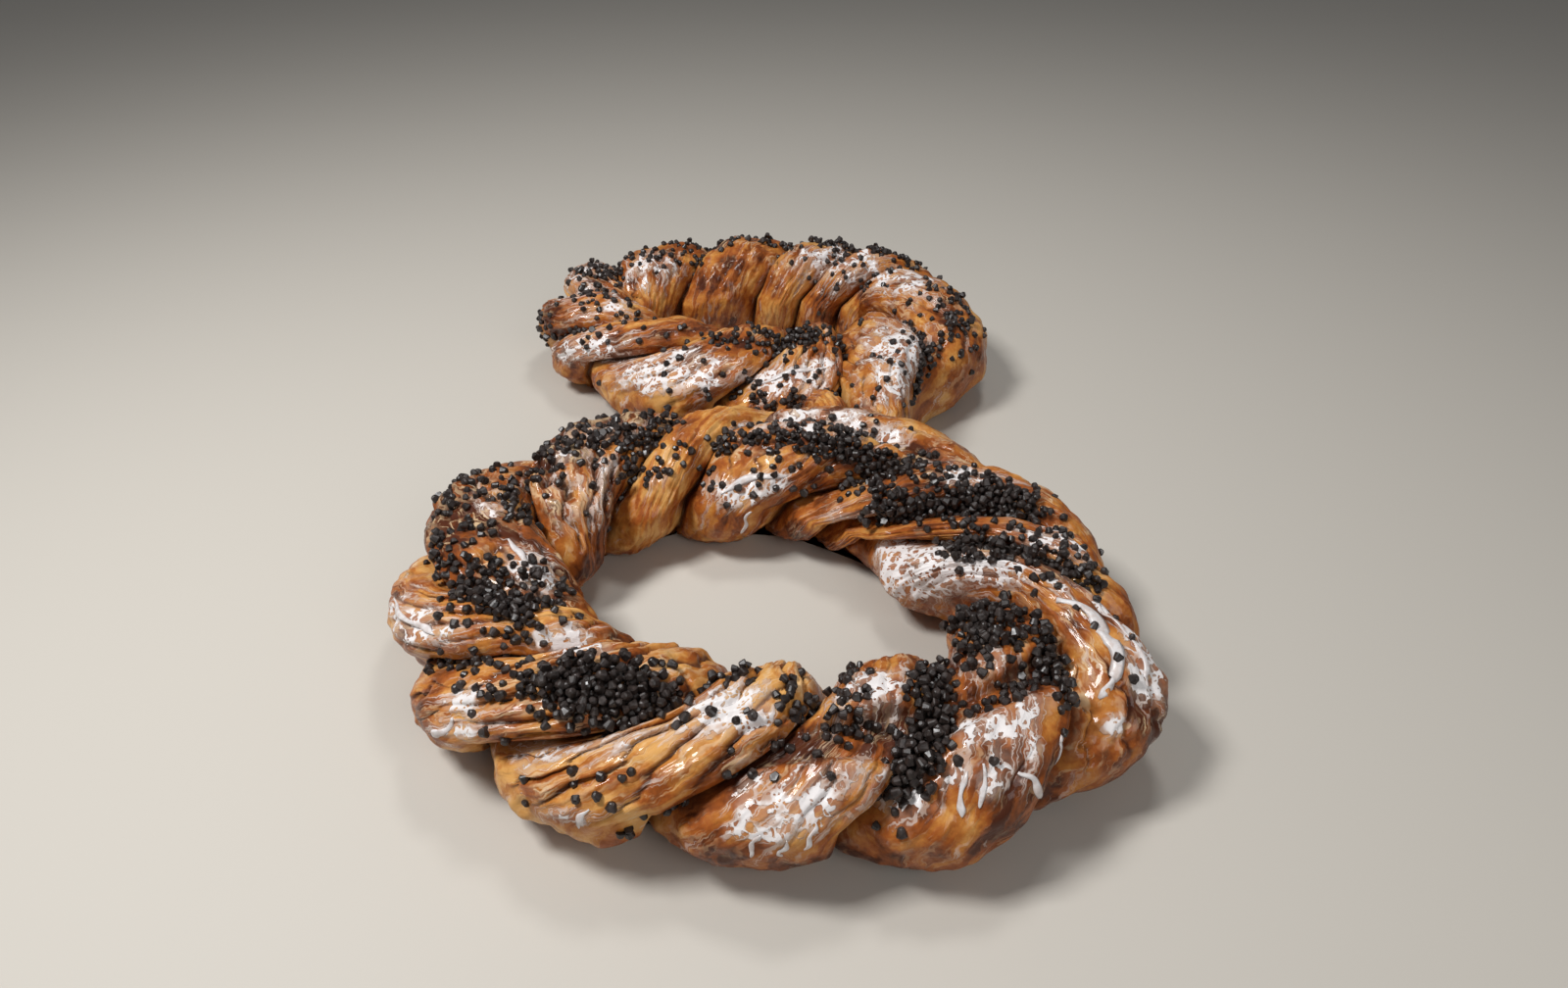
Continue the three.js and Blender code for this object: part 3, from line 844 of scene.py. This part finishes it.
# Chocolate drops
# Small baking drops of dark chocolate, about six millimetres wide, are strewn on the wet icing.
# They lie two or three deep in the grooves at the ends of the strands, and singly on the crowns.
DROP_SIZE = (4.7, 6.6)
# Shares of a drop's size: its height, how far it sinks in, the room it keeps, the rise of each layer
# of a pile, the radius of its foot and of its top, and the bevel of its edges.
DROP_TALL = 0.66
DROP_SUNK = 0.16
DROP_CLEAR = 0.64
PILE_RISE = 0.42
DROP_FOOT = 0.52
DROP_TOP = 0.3
DROP_BEVEL = 0.1
DROP_SIDES = 5
DROP_LEAN = 0.8
DROP_UNEVEN = (0.88, 1.12)
# Places tried for each drop, the spread past which drops are strewn evenly, and the lowest place for one.
DROP_TRIES = 9
EVEN_SPREAD = 2
LOWEST_DROP = 4
# Columns: rope, strand position and tube angle of the heap's middle, its spread in both, number of drops,
# and how many layers of drops may lie on the first.
heaps = (
    (front_ring, 0.74, 82, 0.11, 8, 290, 3),
    (front_ring, 0.32, 66, 0.22, 14, 30, 0),
    (front_ring, 0.03, 38, 0.06, 16, 24, 1),
    (front_ring, 1.30, 108, 0.28, 4, 22, 1),
    (front_ring, 1.50, 32, 0.12, 10, 10, 0),
    (front_ring, 1.85, 100, 0.07, 9, 20, 1),
    (front_ring, 1.93, 30, 0.04, 26, 12, 0),
    (front_ring, 2.25, 122, 0.10, 9, 14, 0),
    (front_ring, 2.50, 86, 0.16, 7, 28, 1),
    (front_ring, 2.98, 104, 0.07, 8, 80, 2),
    (front_ring, 3.11, 70, 0.05, 18, 150, 3),
    (front_ring, 3.52, 117, 0.12, 10, 110, 2),
    (front_ring, 3.80, 80, 0.04, 12, 60, 2),
    (front_ring, 3.54, 77, 0.12, 3, 20, 0),
    (front_ring, 4.60, 112, 0.20, 12, 20, 0),
    (front_ring, 4.92, 132, 0.18, 8, 100, 2),
    (front_ring, 5.05, 110, 0.13, 9, 100, 2),
    (front_ring, 5.15, 84, 0.10, 10, 60, 2),
    (front_ring, 5.62, 80, 0.14, 12, 18, 0),
    (front_ring, 6.22, 135, 0.20, 6, 110, 2),
    (front_ring, 6.15, 117, 0.10, 9, 120, 2),
    (front_ring, 6.20, 97, 0.10, 9, 100, 2),
    (front_ring, 6.56, 104, 0.22, 9, 40, 1),
    (front_ring, 6.90, 126, 0.10, 8, 30, 1),
    (front_ring, 7.10, 110, 0.14, 8, 80, 2),
    (front_ring, 7.40, 110, 0.20, 6, 70, 2),
    (front_ring, 7.75, 109, 0.20, 6, 50, 1),
    (front_ring, 8.05, 102, 0.08, 10, 18, 1),
    (front_ring, 9.50, 92, 0.24, 10, 90, 1),
    (front_ring, 9.50, 74, 0.25, 18, 36, 0),
    (front_ring, 9.12, 90, 0.06, 26, 70, 2),
    (front_ring, 8.70, 130, 0.10, 8, 14, 0),
    (front_ring, 10.50, 68, 0.18, 18, 70, 1),
    (front_ring, 10.24, 97, 0.06, 10, 24, 1),
    (front_ring, 10.83, 104, 0.08, 18, 110, 2),
    (front_ring, 11.40, 93, 0.20, 9, 120, 2),
    (back_rope, 11.20, 84, 0.40, 6, 130, 2),
    (back_rope, 11.40, 42, 0.25, 9, 16, 0),
    (back_rope, 11.35, 24, 0.30, 6, 56, 2),
    (back_rope, 2.40, 60, 0.14, 16, 70, 1),
    (back_rope, 2.00, 60, 0.07, 22, 74, 1),
    (back_rope, 4.40, 64, 0.90, 12, 150, 1),
    (back_rope, 6.00, 80, 0.20, 20, 34, 1),
    (back_rope, 8.85, 20, 0.18, 18, 30, 1),
    (back_rope, 8.50, 87, 0.25, 12, 34, 0),
    (back_rope, 7.50, 90, 0.30, 14, 54, 1),
    (front_ring, 7.55, 84, 0.22, 10, 46, 0),
    (front_ring, 7.55, 138, 0.20, 10, 22, 0),
    (front_ring, 5.45, 105, 0.20, 14, 18, 0),
    (back_rope, 10.40, 46, 0.32, 14, 10, 0),
    (back_rope, 9.50, 58, 0.32, 16, 18, 0),
    (back_rope, 6.60, 98, 0.26, 14, 30, 0),
    (back_rope, 3.30, 112, 0.50, 22, 40, 0),
    (back_rope, 1.60, 90, 0.22, 30, 18, 0),
    (front_ring, 6.00, 85, 5.90, 28, 90, 0),
    (back_rope, 6.00, 85, 5.50, 28, 40, 0),
)

draw = np.random.default_rng(11)
drop_places = np.empty((0, 3))
drop_normals = np.empty((0, 3))
drop_sizes = np.empty(0)
for rope, position, tube, spread, tube_spread, count, deepest in heaps:
    tries = DROP_TRIES * count
    if spread < EVEN_SPREAD:
        positions = np.clip(draw.normal(position, spread, tries), POSITION_EDGE, last_position(rope))
    else:
        positions = draw.uniform(position - spread, position + spread, tries)
    tubes = draw.normal(tube, tube_spread, tries)
    sizes = draw.uniform(*DROP_SIZE, tries)
    spots = crust_surface(rope, positions, tubes)[0]
    normals = crust_normal(rope, positions, tubes)
    taken = 0
    for spot, normal, size in zip(spots, normals, sizes):
        if taken == count or spot[2] < LOWEST_DROP:
            continue
        for level in range(deepest + 1):
            centre = spot + normal * size * (DROP_TALL / 2 - DROP_SUNK + PILE_RISE * level)
            apart = np.linalg.norm(drop_places - centre, axis=1)
            if len(apart) == 0 or apart.min() > DROP_CLEAR * size:
                drop_places = np.vstack([drop_places, centre])
                drop_normals = np.vstack([drop_normals, normal])
                drop_sizes = np.append(drop_sizes, size)
                taken += 1
                break

# One drop is a low blunt cone with bevelled edges. Each copy leans and is a little uneven.
drop = bmesh.new()
bmesh.ops.create_cone(
    drop, cap_ends=True, segments=DROP_SIDES, radius1=DROP_FOOT, radius2=DROP_TOP, depth=DROP_TALL
)
bmesh.ops.bevel(
    drop, geom=drop.edges, offset=DROP_BEVEL, affect="EDGES", segments=1, profile=0.5, material=-1
)
corners = np.array([vert.co[:] for vert in drop.verts])
points = []
for centre, normal, size in zip(drop_places, drop_normals, drop_sizes):
    lean = Vector(normal + draw.normal(0, DROP_LEAN, 3)).to_track_quat("Z", "Y").to_matrix()
    turned = np.array(lean @ Matrix.Rotation(draw.uniform(0, 2 * np.pi), 3, "Z"))
    uneven = draw.uniform(*DROP_UNEVEN, 3)
    points.append(centre + (corners * uneven * size) @ turned.T)
drops = copies("chocolate_drops", drop, points)

DARK_CHOCOLATE = (0.015, 0.0095, 0.0078, 1)
CHOCOLATE_BLOOM = (0.045, 0.031, 0.027, 1)
chocolate, tree, shader = new_material("dark_chocolate")
bloom = noise(tree, object_place(tree), scale=260.0, detail=3.0, roughness=0.6)
drop_colour = mix_colour(tree, map_range(tree, bloom, 0.4, 0.75), DARK_CHOCOLATE, CHOCOLATE_BLOOM)
tree.links.new(drop_colour, shader.inputs["Base Color"])
tree.links.new(map_range(tree, bloom, 0.3, 0.7, 0.3, 0.5), shader.inputs["Roughness"])
drops.data.materials.append(chocolate)
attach(drops, "root")
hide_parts("braided_bread")

# Stage
# A pale plain floor, soft light from above and the left, and the camera at the photograph's angle.
FLOOR_SIZE = 8
FLOOR_COLOUR = (0.54, 0.505, 0.45, 1)
DAYLIGHT = (0.95, 0.97, 1.0, 1)
bpy.ops.mesh.primitive_plane_add(size=FLOOR_SIZE)
floor = bpy.context.object
floor.name = "floor"
floor_paint, tree, shader = new_material("pale_floor")
shader.inputs["Base Color"].default_value = FLOOR_COLOUR
shader.inputs["Roughness"].default_value = 0.6
floor.data.materials.append(floor_paint)

world = bpy.data.worlds.new("studio")
bpy.context.scene.world = world
world.use_nodes = True
background = world.node_tree.nodes["Background"]
background.inputs["Color"].default_value = DAYLIGHT
background.inputs["Strength"].default_value = 0.14
# Columns: name, place in metres, size and power of each lamp.
for name, place, size, energy in (
    ("key", (-0.6, -0.25, 1.1), 0.3, 13.5),
    ("top", (0.2, 0.35, 1.3), 0.25, 4),
    ("fill", (0.6, -1.0, 0.8), 0.6, 3.5),
):
    light = bpy.data.lights.new(name, "AREA")
    light.energy = energy
    light.size = size
    lamp = bpy.data.objects.new(name, light)
    lamp.location = place
    lamp.rotation_euler = (-Vector(place)).to_track_quat("-Z", "Y").to_euler()
    bpy.context.scene.collection.objects.link(lamp)

# Focal length in pixels of the picture's width, place in millimetres, and turn in radians.
IMAGE_WIDTH = 1600
FOCAL_PIXELS = 1043.841
SENSOR = 36
camera_at = Vector((26.786, -570.75, 425.776)) * MM
yaw, pitch, roll = -0.0293, 0.63876, 0.00269
lens = bpy.data.cameras.new("camera")
lens.sensor_width = SENSOR
lens.lens = SENSOR * FOCAL_PIXELS / IMAGE_WIDTH
lens.clip_start = 0.01
camera = bpy.data.objects.new("camera", lens)
bpy.context.scene.collection.objects.link(camera)
ahead = Vector((math.sin(yaw) * math.cos(pitch), math.cos(yaw) * math.cos(pitch), -math.sin(pitch)))
level = Vector((math.cos(yaw), -math.sin(yaw), 0))
down = ahead.cross(level)
right = math.cos(roll) * level + math.sin(roll) * down
up = math.sin(roll) * level - math.cos(roll) * down
camera.matrix_world = Matrix.Translation(camera_at) @ Matrix((right, up, -ahead)).transposed().to_4x4()
bpy.context.scene.camera = camera
bpy.context.scene.view_settings.view_transform = "Standard"
